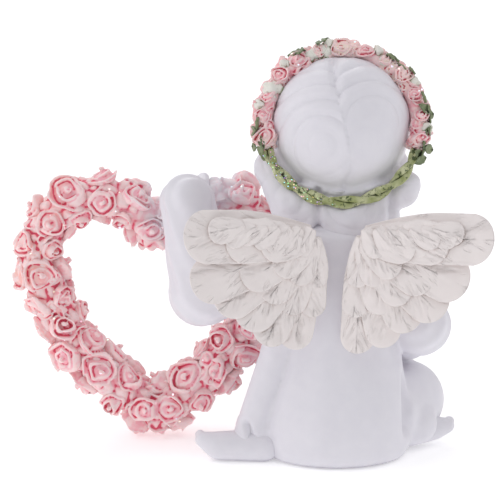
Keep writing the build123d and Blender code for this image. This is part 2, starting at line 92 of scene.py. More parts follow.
def add(tree, kind, sockets, **settings):
    """A new shader node's outputs."""
    node = tree.nodes.new("ShaderNode" + kind)
    for key, value in settings.items():
        setattr(node, key, value)
    wire(node, sockets)
    return node.outputs


def noise_at(tree, feature, detail=3.0, roughness=0.5):
    """Noise on the piece's own coordinates, with features of the given size in metres."""
    where = add(tree, "TexCoord", {})["Object"]
    sockets = {"Vector": where, "Scale": 1 / feature, "Detail": detail, "Roughness": roughness}
    return add(tree, "TexNoise", sockets)["Fac"]


def mixed(tree, mask, first, second):
    """A mix of two colours, each plain or from a node, by a mask."""
    colours = [(*colour, 1) if isinstance(colour, tuple) else colour for colour in (first, second)]
    return add(tree, "MixRGB", {"Fac": mask, "Color1": colours[0], "Color2": colours[1]})["Color"]


def remap(tree, value, low, high, to_low=0.0, to_high=1.0, **settings):
    """A value carried from one range over to another, and held at its ends."""
    ranges = {"Value": value, "From Min": low, "From Max": high, "To Min": to_low, "To Max": to_high}
    return add(tree, "MapRange", ranges, **settings)[0]


def soft_step(tree, value, low, high):
    """A smooth step from 0 at low to 1 at high."""
    return remap(tree, value, low, high, interpolation_type="SMOOTHSTEP")


def reckon(tree, operation, first, second):
    """The sum, difference, product or comparison of two values."""
    return add(tree, "Math", {0: first, 1: second}, operation=operation)[0]


def attribute(tree, name):
    """The outputs of a mesh attribute."""
    return add(tree, "Attribute", {}, attribute_name=name)


floor_material, tree, shader = new_material("pale_table")
tint = mixed(tree, noise_at(tree, 60 * MM), (0.93, 0.93, 0.93), (0.90, 0.90, 0.905))
wire(shader, {"Base Color": tint, "Roughness": 0.8, "Emission Color": (1, 1, 1, 1), "Emission Strength": 0.32})
shape = bmesh.new()
bmesh.ops.create_grid(shape, x_segments=4, y_segments=4, size=FLOOR_REACH)
mesh = bpy.data.meshes.new("table_top")
shape.to_mesh(mesh)
shape.free()
mesh.materials.append(floor_material)
floor = bpy.data.objects.new("table_top", mesh)
scene.collection.objects.link(floor)

world = bpy.data.worlds.new("light_tent")
world.use_nodes = True
world.node_tree.nodes["Background"].inputs["Color"].default_value = (0.97, 0.975, 1.0, 1)
world.node_tree.nodes["Background"].inputs["Strength"].default_value = 0.54
scene.world = world
scene.view_settings.view_transform = "Standard"

target = (cad_box[0] + cad_box[1]) / 2 + Vector((0.3, 0, 0.3)) * MM


def direction(azimuth, rise):
    """From the figurine towards a camera or a light; azimuth 180 is behind the angel's back."""
    turn = radians(azimuth)
    lift = radians(rise)
    return Vector((sin(turn) * cos(lift), -cos(turn) * cos(lift), sin(lift)))


WARM = (1.0, 0.955, 0.96)
for name, azimuth, rise, distance, size, power, tint in (
    ("soft_box_left", 96, 34, 0.55, 0.45, 0.78, WARM),
    ("soft_box_right", 285, 32, 0.55, 0.45, 0.48, WARM),
    ("soft_box_over", 190, 72, 0.60, 0.50, 0.38, (1, 1, 1)),
    ("soft_box_beside_camera", 150, 30, 0.9, 0.50, 0.24, (1, 1, 1)),
    ("soft_box_front", 10, 35, 0.7, 0.50, 0.95, (1, 1, 1)),
):
    lamp = bpy.data.lights.new(name, "AREA")
    lamp.color = tint
    lamp.energy = power
    lamp.size = size
    lamp_object = bpy.data.objects.new(name, lamp)
    away = direction(azimuth, rise)
    lamp_object.location = target + away * distance
    lamp_object.rotation_euler = (-away).to_track_quat("-Z", "Y").to_euler()
    scene.collection.objects.link(lamp_object)

camera = bpy.data.objects.new("camera", bpy.data.cameras.new("camera"))
camera.data.sensor_width = FILM_WIDTH
camera.data.lens = FILM_WIDTH * VIEW_DISTANCE / VIEW_WIDTH
camera.data.clip_start = 0.05
camera.data.clip_end = 20
away = direction(VIEW_AZIMUTH, VIEW_RISE)
camera.location = target + away * VIEW_DISTANCE
camera.rotation_euler = (-away).to_track_quat("-Z", "Y").to_euler()
scene.collection.objects.link(camera)
scene.camera = camera


# ---- gown: the long dress and its two sleeves --------------------------------------------------------------
# The body, the folded legs under the skirt and both sleeves are one smooth dress, cast in white resin and
# sprayed satin white. It has soft hanging folds, and deeper ones in the crook of each sleeve.
GOWN_VOXEL = 0.45 * MM
FOLD_DEPTH = 0.32 * MM
FOLDS_ROUND = 11
SLEEVE_FOLD_DEPTH = 0.38 * MM
SLEEVE_FOLD_PITCH = 3.4 * MM
PADS = 16
spine = (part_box("gown")[0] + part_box("gown")[1]) / 2
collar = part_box("neck")[0].z


def group_sockets(name, inputs, outputs):
    """A shader node group with named inputs and outputs, its inputs' values and its last node."""
    group = bpy.data.node_groups.new(name, "ShaderNodeTree")
    for label, value in inputs.items():
        socket = group.interface.new_socket(name=label, in_out="INPUT", socket_type="NodeSocketFloat")
        socket.default_value = value
    for label, kind in outputs.items():
        group.interface.new_socket(name=label, in_out="OUTPUT", socket_type="NodeSocket" + kind)
    return group, group.nodes.new("NodeGroupInput").outputs, group.nodes.new("NodeGroupOutput")


# painted shade in the recesses, from how shut in a point is: 1 deep in a recess, 0 on open surfaces
group_inputs = {"Reach": 1 * MM, "Start": 0.3, "End": 0.8}
recess_shade_group, given, result = group_sockets("shade_in_recesses", group_inputs, {"Mask": "Float"})
open_sky = add(recess_shade_group, "AmbientOcclusion", {"Distance": given["Reach"]}, samples=6)["AO"]
uneven = remap(recess_shade_group, noise_at(recess_shade_group, 1.6 * MM), 0, 1, -0.16, 0.16)
depth = reckon(recess_shade_group, "ADD", reckon(recess_shade_group, "SUBTRACT", 1.0, open_sky), uneven)
wire(result, {"Mask": soft_step(recess_shade_group, depth, given["Start"], given["End"])})

# the fine orange-peel and casting grain of sprayed resin
group_outputs = {"Normal": "Vector", "Patch": "Float"}
grain_group, given, result = group_sockets("cast_grain", {"Depth": 0.01 * MM}, group_outputs)
broad = noise_at(grain_group, 2.4 * MM, 2.0)
grain = mixed(grain_group, 0.45, noise_at(grain_group, 0.35 * MM, 4.0, 0.6), broad)
bump = add(grain_group, "Bump", {"Strength": 1.0, "Distance": given["Depth"], "Height": grain})
wire(result, {"Normal": bump["Normal"], "Patch": broad})


def use_group(tree, group, **values):
    """The outputs of a shader node group, placed in a material with its own values."""
    return add(tree, "Group", values, node_tree=group)


def painted_resin(name, base, shade, recess_shade_colour, reach, start, end):
    """White resin: a base paint that varies a little, and painted shade that darkens its recesses."""
    material, tree, shader = new_material(name)
    texture = use_group(tree, grain_group, Depth=0.012 * MM)
    recess_shade = use_group(tree, recess_shade_group, Reach=reach * MM, Start=start, End=end)
    # painted shade: the recess colour is laid where the recess mask is high
    paint = mixed(tree, recess_shade["Mask"], mixed(tree, texture["Patch"], base, shade), recess_shade_colour)
    rough = remap(tree, texture["Patch"], 0, 1, 0.35, 0.52)
    wire(shader, {"Base Color": paint, "Normal": texture["Normal"]})
    wire(shader, {"Roughness": rough, "Specular IOR Level": 0.42})
    return material


def merged(*nodes):
    """Copies of CAD nodes in one bmesh, each merged into closed shells."""
    shape = bmesh.new()
    for node in nodes:
        shape.from_mesh(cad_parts[node].data)
    bmesh.ops.remove_doubles(shape, verts=shape.verts, dist=0.005 * MM)
    return shape


def bake_modifiers(shape, add_modifiers):
    """The bmesh that a bmesh becomes under modifiers; the first one is used up."""
    mesh = bpy.data.meshes.new("blank")
    shape.to_mesh(mesh)
    shape.free()
    blank = bpy.data.objects.new("blank", mesh)
    scene.collection.objects.link(blank)
    add_modifiers(blank)
    done = bmesh.new()
    done.from_object(blank, bpy.context.evaluated_depsgraph_get())
    bpy.data.objects.remove(blank)
    bpy.data.meshes.remove(mesh)
    return done


def clay(shape, voxel, rounds):
    """Melts closed shells into one even skin, as clay pressed together, and smooths it."""

    def skin(blank):
        melt = blank.modifiers.new("melt", "REMESH")
        melt.mode = "VOXEL"
        melt.voxel_size = voxel
        smooth = blank.modifiers.new("smooth", "SMOOTH")
        smooth.factor = 0.5
        smooth.iterations = rounds

    return bake_modifiers(shape, skin)


def push(shape, move):
    """Moves every point of a bmesh by what move(place, outward) gives."""
    shape.normal_update()
    moves = [move(point.co, point.normal) for point in shape.verts]
    for point, shift in zip(shape.verts, moves):
        point.co += shift


def keep_in_box(shape):
    """Flattens what would reach below the table or out of the CAD model's box."""
    for point in shape.verts:
        point.co = Vector([min(max(point.co[i], cad_box[0][i]), cad_box[1][i]) for i in range(3)])


def piece(name, shape, material):
    """A finished, smoothly shaded piece that rides on the figurine."""
    keep_in_box(shape)
    mesh = bpy.data.meshes.new(name)
    shape.to_mesh(mesh)
    shape.free()
    mesh.materials.append(material)
    mesh.polygons.foreach_set("use_smooth", [True] * len(mesh.polygons))
    made = bpy.data.objects.new(name, mesh)
    scene.collection.objects.link(made)
    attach(made, "root")
    return made


def bell(value, width):
    """A smooth bump: 1 in the middle, and nearly 0 two widths away."""
    return exp(-((value / width) ** 2))


def ease(low, high, value):
    """A smooth step from 0 at low to 1 at high."""
    share = min(1.0, max(0.0, (value - low) / (high - low)))
    return share * share * (3 - 2 * share)


def egg(stock, place, sizes, subdivisions=4):
    """Adds a ball, stretched to its three half sizes in mm, to a stock."""
    matrix = place @ Matrix.Diagonal((*(size * MM for size in sizes), 1))
    bmesh.ops.create_icosphere(stock, subdivisions=subdivisions, radius=1.0, matrix=matrix)


def ball_row(stock, first, last, subdivisions=4):
    """Adds a row of balls to a stock, from one end to the other: each is x, y, z and a radius, in mm."""
    for number in range(PADS):
        share = number / (PADS - 1)
        *middle, radius = (one + (other - one) * share for one, other in zip(first, last))
        place = Matrix.Translation(Vector(middle) * MM)
        bmesh.ops.create_icosphere(stock, subdivisions=subdivisions, radius=radius * MM, matrix=place)


WHITE = (0.80, 0.785, 0.83)
WHITE_SHADE = (0.745, 0.73, 0.785)
# grey-violet painted shade in the white resin's recesses
white_resin = painted_resin("white_resin", WHITE, WHITE_SHADE, (0.52, 0.50, 0.56), 1.6, 0.42, 0.95)
waist_half = (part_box("gown")[1].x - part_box("gown")[0].x) / 2
HEM_ROUND = 3.0 * MM
GROOVES = (            # between the legs and the skirt's back: two (x, z) ends and a depth, in mm
    ((-31.0, 20.0), (-31.6, 4.0), 2.0),
    ((1.4, 9.5), (-1.8, 1.0), 1.3),
)
NAPE_SLOPE = (9, 7.6, 4.2)
SIDE_PANEL = ((-6.0, 5.0, 26.0, 3.2), (0.5, 4.0, 5.5, 3.2))   # the skirt over the left leg


def gown_folds(place, outward):
    """Hanging folds round the dress, and slanting folds in the crook of each sleeve."""
    flat = place - spine
    turn = atan2(flat.y, flat.x)
    sway = 0.5 * sin(place.z / (9 * MM) + 2 * turn)
    height = ease(36 * MM, 20 * MM, place.z) * ease(1 * MM, 6 * MM, place.z)
    near_body = ease(1.35, 1.05, sqrt(flat.x**2 + flat.y**2) / waist_half)
    front = 0.35 + 0.65 * ease(6 * MM, -6 * MM, flat.y)
    depth = FOLD_DEPTH * sin(FOLDS_ROUND * turn + sway) * height * near_body * front
    reach = abs(flat.x) - waist_half * 0.72
    on_sleeve = ease(0, 5 * MM, reach) * ease(20 * MM, 24 * MM, place.z)
    slant = (place.z * 0.55 + place.y * 0.8 - abs(flat.x) * 0.35) / SLEEVE_FOLD_PITCH
    crook = 0.35 + 0.65 * ease(2 * MM, -7 * MM, flat.y)
    depth += SLEEVE_FOLD_DEPTH * sin(2 * pi * slant + 1.5 * noise.noise(place * 90)) * on_sleeve * crook
    for top, low, deep in GROOVES:
        share = (place.z / MM - low[1]) / (top[1] - low[1])
        apart = place.x / MM - low[0] - (top[0] - low[0]) * share
        along = ease(0, 0.2, share) * ease(1, 0.8, share)
        depth -= deep * MM * bell(apart, 0.7) * along * ease(0, 3 * MM, place.y)
    depth -= 0.34 * max(0.0, HEM_ROUND - place.z) ** 2 / HEM_ROUND
    level = Vector((outward.x, outward.y, 0))
    level += Vector((flat.x, flat.y, 0)).normalized() * ease(0.4, 1, -outward.z)
    return (level + UP * outward.z * ease(0, HEM_ROUND, place.z)) * depth


dress_nodes = ("gown", "gown_lap", "left_leg", "right_leg", "left_sleeve", "right_sleeve")
dress_stock = merged(*dress_nodes)
egg(dress_stock, Matrix.Translation(Vector((spine.x, spine.y, collar - 1 * MM))), NAPE_SLOPE)
ball_row(dress_stock, *SIDE_PANEL, subdivisions=3)
dress = clay(dress_stock, GOWN_VOXEL, 16)
push(dress, gown_folds)
gown = piece("dress", dress, white_resin)
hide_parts(*dress_nodes)


# ---- bare feet and hands -----------------------------------------------------------------------------------
# The same white resin. Each foot comes out from under the skirt and has five toes. The left hand closes over
# the wreath from behind, and the right one rests on the knee.
SKIN_VOXEL = 0.28 * MM
FEET = {
    "left_foot": ((9.8, 4.2, 4.3, 1.5), (6.6, 4.5, 3.1, 2.8), (-2.5, 4.4, 3.1, 3.2)),
    "right_foot": ((-39.7, -7.2, 3.9, 1.5), (-37.2, -6.8, 3.5, 2.3), (-33.5, -5.5, 3.6, 3.0)),
}
for name, rounds in (("left_foot", 14), ("right_foot", 12), ("left_hand", 4), ("right_hand", 3)):
    pads = FEET.get(name, ())
    stock = bmesh.new() if pads else merged(name)
    for first, last in zip(pads[:-1], pads[1:]):
        ball_row(stock, first, last)
    for number in range(5 if pads else 0):
        x, y, z, radius = pads[0]
        side = 1 if name == "left_foot" else -1
        across = x + side * (0.55 - 0.35 * number)
        toe = Vector((across, y - 1.2 - 0.25 * number, z + 0.65 - 0.62 * number)) * MM
        place = Matrix.Translation(toe)
        bmesh.ops.create_icosphere(stock, subdivisions=3, radius=(1.0 - 0.08 * number) * MM, matrix=place)
    limb = clay(stock, SKIN_VOXEL, rounds)
    push(limb, lambda place, outward: outward * MM * (0.12 + 0.07 * noise.noise(place * 260)))
    part = piece("bare_" + name, limb, white_resin)
    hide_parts(name)


# ---- head and face -----------------------------------------------------------------------------------------
# A round child's head on a short neck, turned a little towards the wreath. The face is calm, with closed eyes:
# lids that bulge in shallow sockets, a small nose, full cheeks, and lips that meet in a soft line.
HEAD_TURN = radians(14)
EYE_X = 4.3            # the face's places, in mm from the middle of the head
EYE_Z = -0.9
NOSE_Z = -3.6
MOUTH_Z = -6.7
CHIN_Z = -9.8
hair_low, hair_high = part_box("hair_cap")
hair_r = (hair_high.x - hair_low.x) / 2
head_centre = Vector(((hair_high.x + hair_low.x) / 2, hair_high.y - hair_r, hair_high.z - hair_r))
head_place = Matrix.Translation(head_centre) @ Matrix.Rotation(HEAD_TURN, 4, "Z")
into_head = head_place.inverted()
face_forward = head_place.to_3x3() @ Vector((0, -1, 0))


def face(place, outward):
    """Raises and sinks the skin of the face, measured in mm from the middle of the head."""
    x, y, z = (into_head @ place) / MM
    if y > -3:
        return Vector((0, 0, 0))
    side = abs(x)
    eye = side - EYE_X
    lid = z - (EYE_Z - 0.55 + 0.10 * eye**2)
    lips = z - (MOUTH_Z + 0.05 * x * x)
    raised = -0.95 * bell(eye, 2.6) * bell(z - EYE_Z - 0.5, 1.9)
    raised += 0.95 * bell(eye, 1.75) * bell(z - EYE_Z, 1.15)
    raised -= 0.48 * bell(lid, 0.28) * ease(2.1, 1.5, abs(eye))
    raised += 0.16 * bell(lid + 0.5, 0.3) * ease(2.2, 1.5, abs(eye))
    raised += 0.22 * bell(eye, 2.4) * bell(z - EYE_Z - 3.0 + 0.06 * eye**2, 0.5)
    raised += 0.75 * bell(x, 0.95) * ease(0.6, -1.4, z) * ease(-4.6, -3.2, z)
    raised += 0.75 * bell(x, 0.9) * bell(z - NOSE_Z, 0.85)
    raised += 0.40 * bell(side - 1.05, 0.5) * bell(z - NOSE_Z + 0.35, 0.5)
    raised -= 0.30 * bell(side - 0.62, 0.28) * bell(z - NOSE_Z + 1.05, 0.25)
    raised -= 0.16 * bell(x, 0.4) * bell(z - MOUTH_Z - 1.5, 0.6)
    raised += 0.62 * bell(x, 1.9) * bell(lips - 0.5, 0.5)
    raised += 0.66 * bell(x, 1.5) * bell(lips + 0.6, 0.58)
    raised -= 0.50 * bell(lips, 0.24) * ease(2.5, 1.7, side)
    raised -= 0.30 * bell(x, 1.6) * bell(lips + 1.9, 0.5)
    raised += 0.45 * bell(x, 1.7) * bell(z - CHIN_Z, 1.2)
    return (outward * 0.5 + face_forward * 0.5) * raised * MM


head = clay(merged("head", "neck"), 0.26 * MM, 10)
push(head, face)
bmesh.ops.smooth_vert(head, verts=head.verts, factor=0.3, use_axis_x=True, use_axis_y=True, use_axis_z=True)
part = piece("head_and_neck", head, white_resin)
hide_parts("head", "neck")


# ---- hair --------------------------------------------------------------------------------------------------
# Short combed hair in white resin. At the back the locks curl down and outward on both sides of a parting, in
# nested arcs round two whorls, and they end under the crown in a roll of curls. In front they fall as a fringe.
LOCK_PITCH = 3.1 * MM
LOCK_DEPTH = 0.62 * MM
LEFT_WHORL = (4.0 * MM, -4.2 * MM)
RIGHT_WHORL = (-6.0 * MM, 0.4 * MM)
CURL_MIDDLES = (10.6 * MM, -2.4 * MM, -12.6 * MM)
CURL_CREASES = (4.8 * MM, -9.8 * MM)
NAPE_PADS = (           # what fills out the nape's roll: places from the middle of the head, and half sizes
    ((-0.5, 7.0, -10.5), (9.0, 2.5, 2.5)),
    ((-0.8, 6.4, -18.2), (6.2, 4.2, 4.8)),
    ((-5.8, 5.8, -16.8), (5.6, 4.2, 4.8)),
    ((-11.2, 0.2, -7.2), (2.3, 2.3, 2.3)),
    ((11.0, 1.2, -7.2), (2.2, 2.2, 2.2)),
)
FRINGE_LOCKS = 7
seen_up = Vector((0, -sin(radians(VIEW_RISE)), cos(radians(VIEW_RISE))))
# pale grey painted shade in the hair's recesses
hair_resin = painted_resin("hair_resin", WHITE, WHITE_SHADE, (0.60, 0.57, 0.60), 1.3, 0.40, 0.95)


def lock(phase):
    """The rounded back of a lock of hair, with a sharp furrow at each whole phase, and finer strands on it."""
    return abs(sin(pi * phase)) ** 0.7 + 0.08 * abs(sin(3 * pi * phase + 0.6)) ** 0.7


def combed(place, outward):
    """Locks over the cap and the nape's roll."""
    from_head = place - head_centre
    over = from_head.dot(seen_up)
    parting = -1.6 * MM + 3.4 * MM * ease(-9 * MM, 13 * MM, over) + 1.4 * MM * ease(-9 * MM, -13 * MM, over)
    across = from_head.x - parting
    whorl, start = (LEFT_WHORL, -0.1 * MM) if across > 0 else (RIGHT_WHORL, 2.4 * MM)
    ring = sqrt((from_head.x - whorl[0]) ** 2 + (over - whorl[1]) ** 2)
    swirl = lock((ring - start) / LOCK_PITCH + 0.16 * noise.noise(place * 110))
    swirl *= 0.25 + 0.75 * ease(2.5 * MM, 7 * MM, ring)
    if across > 0:
        swirl *= 0.30 + 0.70 * ease(-10 * MM, -2 * MM, over)
    else:
        swirl *= 0.08 + 0.92 * ease(-3 * MM, 5 * MM, over)
    crease = 1.5 * bell(across, 0.9 * MM) * ease(3 * MM, 11 * MM, over)
    crease += 0.7 * bell(across, 0.8 * MM) * ease(-5 * MM, -10 * MM, over)
    at_back = ease(-3 * MM, 3 * MM, from_head.y)
    local = into_head @ place
    sweep_angle = atan2(local.x, local.z + 4 * MM)
    fringe = lock(2.3 * sweep_angle + 0.25 * sin(local.y / (3 * MM)) + 0.3)
    on_roll = ease(1.6 * MM, -0.6 * MM, place.z - head_centre.z + 9.5 * MM)
    on_roll *= ease(14.2 * MM, 15 * MM, from_head.length)
    depth = LOCK_DEPTH * ((swirl - crease) * at_back + 0.8 * fringe * (1 - at_back) - 0.6)
    return outward * depth * (1 - on_roll) + outward * roll_relief(from_head) * on_roll


def roll_relief(from_head):
    """Full curls side by side under the crown, each with spiral strands, and sharp creases between them."""
    crease = sum(bell(from_head.x - middle, 0.8 * MM) for middle in CURL_CREASES)
    nearest = min(CURL_MIDDLES, key=lambda middle: abs(from_head.x - middle))
    radius = sqrt((from_head.x - nearest) ** 2 + (from_head.z + 13 * MM) ** 2)
    return 0.26 * MM * lock(radius / (2.8 * MM) + 0.12 * noise.noise(from_head * 150)) - 1.1 * MM * crease


hair_stock = merged("hair_cap", "nape_curls")
skull_fill = bmesh.new()
skull_place = Matrix.Translation(head_centre)
bmesh.ops.create_icosphere(skull_fill, subdivisions=5, radius=hair_r - 0.05 * MM, matrix=skull_place)
front_down = head_place.to_3x3() @ Vector((0, -0.8, -0.6))
hairline = bmesh.ops.bisect_plane(
    skull_fill,
    geom=skull_fill.verts[:] + skull_fill.edges[:] + skull_fill.faces[:],
    plane_co=head_centre + front_down * 4 * MM,
    plane_no=front_down,
    clear_outer=True,
)
rim_edges = [item for item in hairline["geom_cut"] if isinstance(item, bmesh.types.BMEdge)]
bmesh.ops.contextual_create(skull_fill, geom=rim_edges)


def absorb(shape, other, place=Matrix()):
    """Adds a bmesh, moved to its place, to another one."""
    mesh = bpy.data.meshes.new("passing")
    bmesh.ops.transform(other, matrix=place, verts=other.verts)
    other.to_mesh(mesh)
    other.free()
    shape.from_mesh(mesh)
    bpy.data.meshes.remove(mesh)


absorb(hair_stock, skull_fill)
for middle, sizes in NAPE_PADS:
    egg(hair_stock, Matrix.Translation(head_centre + Vector(middle) * MM), sizes)
for number in range(FRINGE_LOCKS):
    angle = radians(-75 + 25 * number)
    middle = Vector((11.1 * sin(angle), -8.6 + 2.2 * abs(sin(angle)), -3.9 + 11.0 * cos(angle))) * MM
    lock_place = head_place @ Matrix.Translation(middle) @ Matrix.Rotation(angle, 4, "Y")
    egg(hair_stock, lock_place, (2.9, 1.9, 2.4), 3)
hair = clay(hair_stock, 0.26 * MM, 8)
push(hair, combed)
bmesh.ops.smooth_vert(hair, verts=hair.verts, factor=0.35, use_axis_x=True, use_axis_y=True, use_axis_z=True)
part = piece("combed_hair", hair, hair_resin)
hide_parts("hair_cap", "nape_curls")


# ---- wings -------------------------------------------------------------------------------------------------
# Each wing is an arm at the shoulder blade and three rows of broad round feathers, cast in white resin. Long
# slanting strokes stand for the barbs, and a little tan paint is left in them.
WING_ROOT_HALF = 5.0 * MM
WING_SWEEP = radians(20)
WING_LEAN = radians(6)
WING_SPAN = 27.2 * MM
WING_DROP = 24.0 * MM
OUTER_FEATHER_W = 10.6 * MM
INNER_FEATHER_W = 6.8 * MM
FAN_REACHES = {"left": (84, 98, 104), "right": (97, 101, 105)}   # the rows, from the top feather to the lowest
LONG_SHARES = {"left": (1, 1.04, 0.98, 0.95, 0.98, 0.98), "right": (0.99, 0.90, 0.92, 0.87, 0.95, 1)}
FAN_EVENNESS = 0.82
FEATHER_T = 1.0 * MM
FEATHER_TWIST = radians(7)
TUFT_COUNT = 7
STROKE_HALF_WIDTH = 0.23 * MM
wing_root = Vector((spine.x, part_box("gown")[1].y - 1.2 * MM, collar + 1.7 * MM))
BARB_TURN = radians(24)

# wing paint: warm white, with fine cut strokes that follow each feather's barbs and hold a little tan paint
wing_resin, tree, shader = new_material("wing_resin")
texture = use_group(tree, grain_group, Depth=0.02 * MM)
recess_shade = use_group(tree, recess_shade_group, Reach=0.9 * MM, Start=0.36, End=0.95)
along_barbs = {"Vector": attribute(tree, "barbs")["Vector"], "Scale": 1.0, "Detail": 2.0, "Roughness": 0.5}
lines = soft_step(tree, add(tree, "TexNoise", along_barbs)["Fac"], 0.50, 0.32)
cuts = reckon(tree, "MULTIPLY", lines, soft_step(tree, noise_at(tree, 3.4 * MM, 1.0), 0.42, 0.62))
paint = mixed(tree, texture["Patch"], (0.87, 0.81, 0.795), (0.82, 0.76, 0.745))
paint = mixed(tree, reckon(tree, "MULTIPLY", cuts, 0.10), paint, (0.52, 0.43, 0.38))
# tan in the recesses: partly tan paint left in the crevices, partly painted shade
paint = mixed(tree, recess_shade["Mask"], paint, (0.50, 0.40, 0.35))
heights = {"Strength": 1.0, "Distance": 0.19 * MM, "Height": cuts, "Normal": texture["Normal"]}
relief = add(tree, "Bump", heights, invert=True)["Normal"]
rough = remap(tree, texture["Patch"], 0, 1, 0.45, 0.62)
wire(shader, {"Base Color": paint, "Normal": relief, "Roughness": rough})
wing_draw = Random(11)


def strokes_on(length, width, count):
    """Slanting strokes in small parallel groups: middle, direction, half length and depth of each."""
    strokes = []
    while len(strokes) < count:
        along = wing_draw.uniform(0.30, 0.88) * length
        aside = wing_draw.uniform(-0.36, 0.36) * width
        slant = (1 if aside > 0 else -1) * radians(wing_draw.uniform(14, 34))
        for step in range(wing_draw.choice((2, 3, 3))):
            reach = wing_draw.uniform(1.1, 3.2) * MM
            depth = wing_draw.uniform(0.18, 0.42) * MM
            middle = Vector((along + step * 0.9 * MM, aside - step * 0.25 * MM * (1 if aside > 0 else -1)))
            strokes.append((middle, Vector((cos(slant), sin(slant))), reach, depth))
    return strokes


def blade(length, width, stroke_count, thickness=FEATHER_T):
    """A closed feather along +X, round at its tip, with a quill, a thin raised rim and cut strokes."""
    shape = bmesh.new()
    steps_along = int(length / (0.27 * MM))
    steps_across = int(width / (0.27 * MM))
    bmesh.ops.create_grid(shape, x_segments=steps_along, y_segments=steps_across, size=0.5)
    bmesh.ops.solidify(shape, geom=shape.faces, thickness=0.5)
    strokes = strokes_on(length, width, stroke_count)
    curl = wing_draw.uniform(0.3, 1.1) * MM
    own = wing_draw.uniform(0, 60)
    barb_layer = shape.verts.layers.float_vector.new("barbs")
    for point in shape.verts:
        along = point.co.x + 0.5
        side = point.co.y * 2
        layer = point.co.z
        half = width / 2 * (0.42 + 0.58 * sin(pi / 2 * min(1, along / 0.62)))
        x = length * along - half * (1 - sqrt(1 - 0.97 * side * side)) * along**5
        thick = thickness * sqrt(1 - 0.88 * side**6) * sqrt(1 - 0.88 * along**20)
        relief = 0.0
        for middle, way, reach, depth in strokes:
            dx = x - middle.x
            dy = side * half - middle.y
            run = dx * way.x + dy * way.y
            if abs(run) < reach:
                apart = (dx * way.y - dy * way.x) / STROKE_HALF_WIDTH
                if abs(apart) < 5:
                    fade = 1 - (run / reach) ** 2
                    relief -= depth * fade * exp(-apart * apart)
                    relief += 0.45 * depth * fade * exp(-((apart - 2.4) ** 2))
        quill = 0.22 * MM * bell(side, 0.11) * ease(1.0, 0.5, along)
        edge = max(abs(side), along)
        rim = 0.20 * MM * ease(0.84, 0.97, edge)
        camber = -0.60 * MM * side**2 + 0.25 * MM * side - curl * along**2
        aside = abs(side * half)
        run = x * cos(BARB_TURN) + aside * sin(BARB_TURN)
        over = aside * cos(BARB_TURN) - x * sin(BARB_TURN)
        point[barb_layer] = Vector((0.30 * run / MM, 1.25 * over / MM, own + (5 if side > 0 else 0)))
        point.co = Vector((x, side * half, layer * 2 * thick + relief + quill + rim + camber))
    bmesh.ops.recalc_face_normals(shape, faces=shape.faces)
    return shape


def feather_fan(place, shares, share, lift, spare, reach, stroke_count):
    """A row of feathers as a fan from the root. share is of the longest row, lift is towards the back."""
    count = len(shares)
    fan = bmesh.new()
    fan.verts.layers.float_vector.new("barbs")
    for number in range(count):
        step = (number / (count - 1)) ** FAN_EVENNESS
        droop = spare + (reach - 2 * spare) * step
        length = (WING_DROP + (WING_SPAN - WING_DROP) * max(0.0, cos(droop)) ** 4) * share
        length *= shares[number] * wing_draw.uniform(0.97, 1.0)
        width = (OUTER_FEATHER_W + (INNER_FEATHER_W - OUTER_FEATHER_W) * step) * (0.42 + 0.58 * share)
        width *= wing_draw.uniform(0.95, 1.05)
        turn = Matrix.Rotation(droop + wing_draw.uniform(-0.03, 0.03), 4, "Z")
        twist = Matrix.Rotation(FEATHER_TWIST * wing_draw.uniform(0.9, 1.5), 4, "X")
        feather = blade(length, width, int(stroke_count * share + 3))
        absorb(fan, feather, place @ Matrix.Translation((0, 0, lift)) @ turn @ twist)
    return fan


for side_name, side, raised in (("left", 1, radians(6)), ("right", -1, radians(4))):
    across = Vector((side * cos(WING_SWEEP), sin(WING_SWEEP), 0))
    behind = Vector((-side * sin(WING_SWEEP), cos(WING_SWEEP), 0))
    axes = Matrix((across, -UP, behind)).transposed().to_4x4()
    root = wing_root + Vector((side * WING_ROOT_HALF, 0, 0))
    leant = Matrix.Translation(root) @ axes @ Matrix.Rotation(WING_LEAN, 4, "X")
    place = leant @ Matrix.Rotation(-raised, 4, "Z")
    long_reach, middle_reach, short_reach = (radians(reach) for reach in FAN_REACHES[side_name])
    for row, shares, share, lift, spare, reach, stroke_count in (
        ("long_feathers", LONG_SHARES[side_name], 1.0, 0.0, 0.0, long_reach, 15),
        ("middle_feathers", (1, 1, 0.97, 1, 1), 0.68, 1.15 * MM, radians(5), middle_reach, 14),
        ("short_feathers", (1, 1, 1, 1), 0.43, 2.1 * MM, radians(9), short_reach, 8),
    ):
        fan = feather_fan(place, shares, share, lift, spare, reach, stroke_count)
        bmesh.ops.recalc_face_normals(fan, faces=fan.faces)
        part = piece(side_name + "_wing_" + row + "_cast", fan, wing_resin)
        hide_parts(side_name + "_wing_" + row)
    arm = clay(merged(side_name + "_wing_arm"), 0.3 * MM, 8)
    arm.verts.layers.float_vector.new("barbs")
    push(arm, lambda place, outward: outward * MM * (0.5 * noise.noise(place * 420) - 0.55))
    for number in range(TUFT_COUNT):
        share = number / (TUFT_COUNT - 1)
        start = Vector((1.2 * MM + 0.50 * WING_SPAN * share, -1.9 * MM, (2.7 - 1.7 * share) * MM))
        droop = radians(62 - 44 * share + wing_draw.uniform(-8, 8))
        tuft = blade(wing_draw.uniform(6.0, 7.5) * MM, wing_draw.uniform(4.2, 5.4) * MM, 5, 0.7 * MM)
        turn = Matrix.Rotation(droop, 4, "Z") @ Matrix.Rotation(FEATHER_TWIST, 4, "X")
        absorb(arm, tuft, place @ Matrix.Translation(start) @ turn)
    part = piece(side_name + "_wing_arm_cast", arm, wing_resin)
    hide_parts(side_name + "_wing_arm")


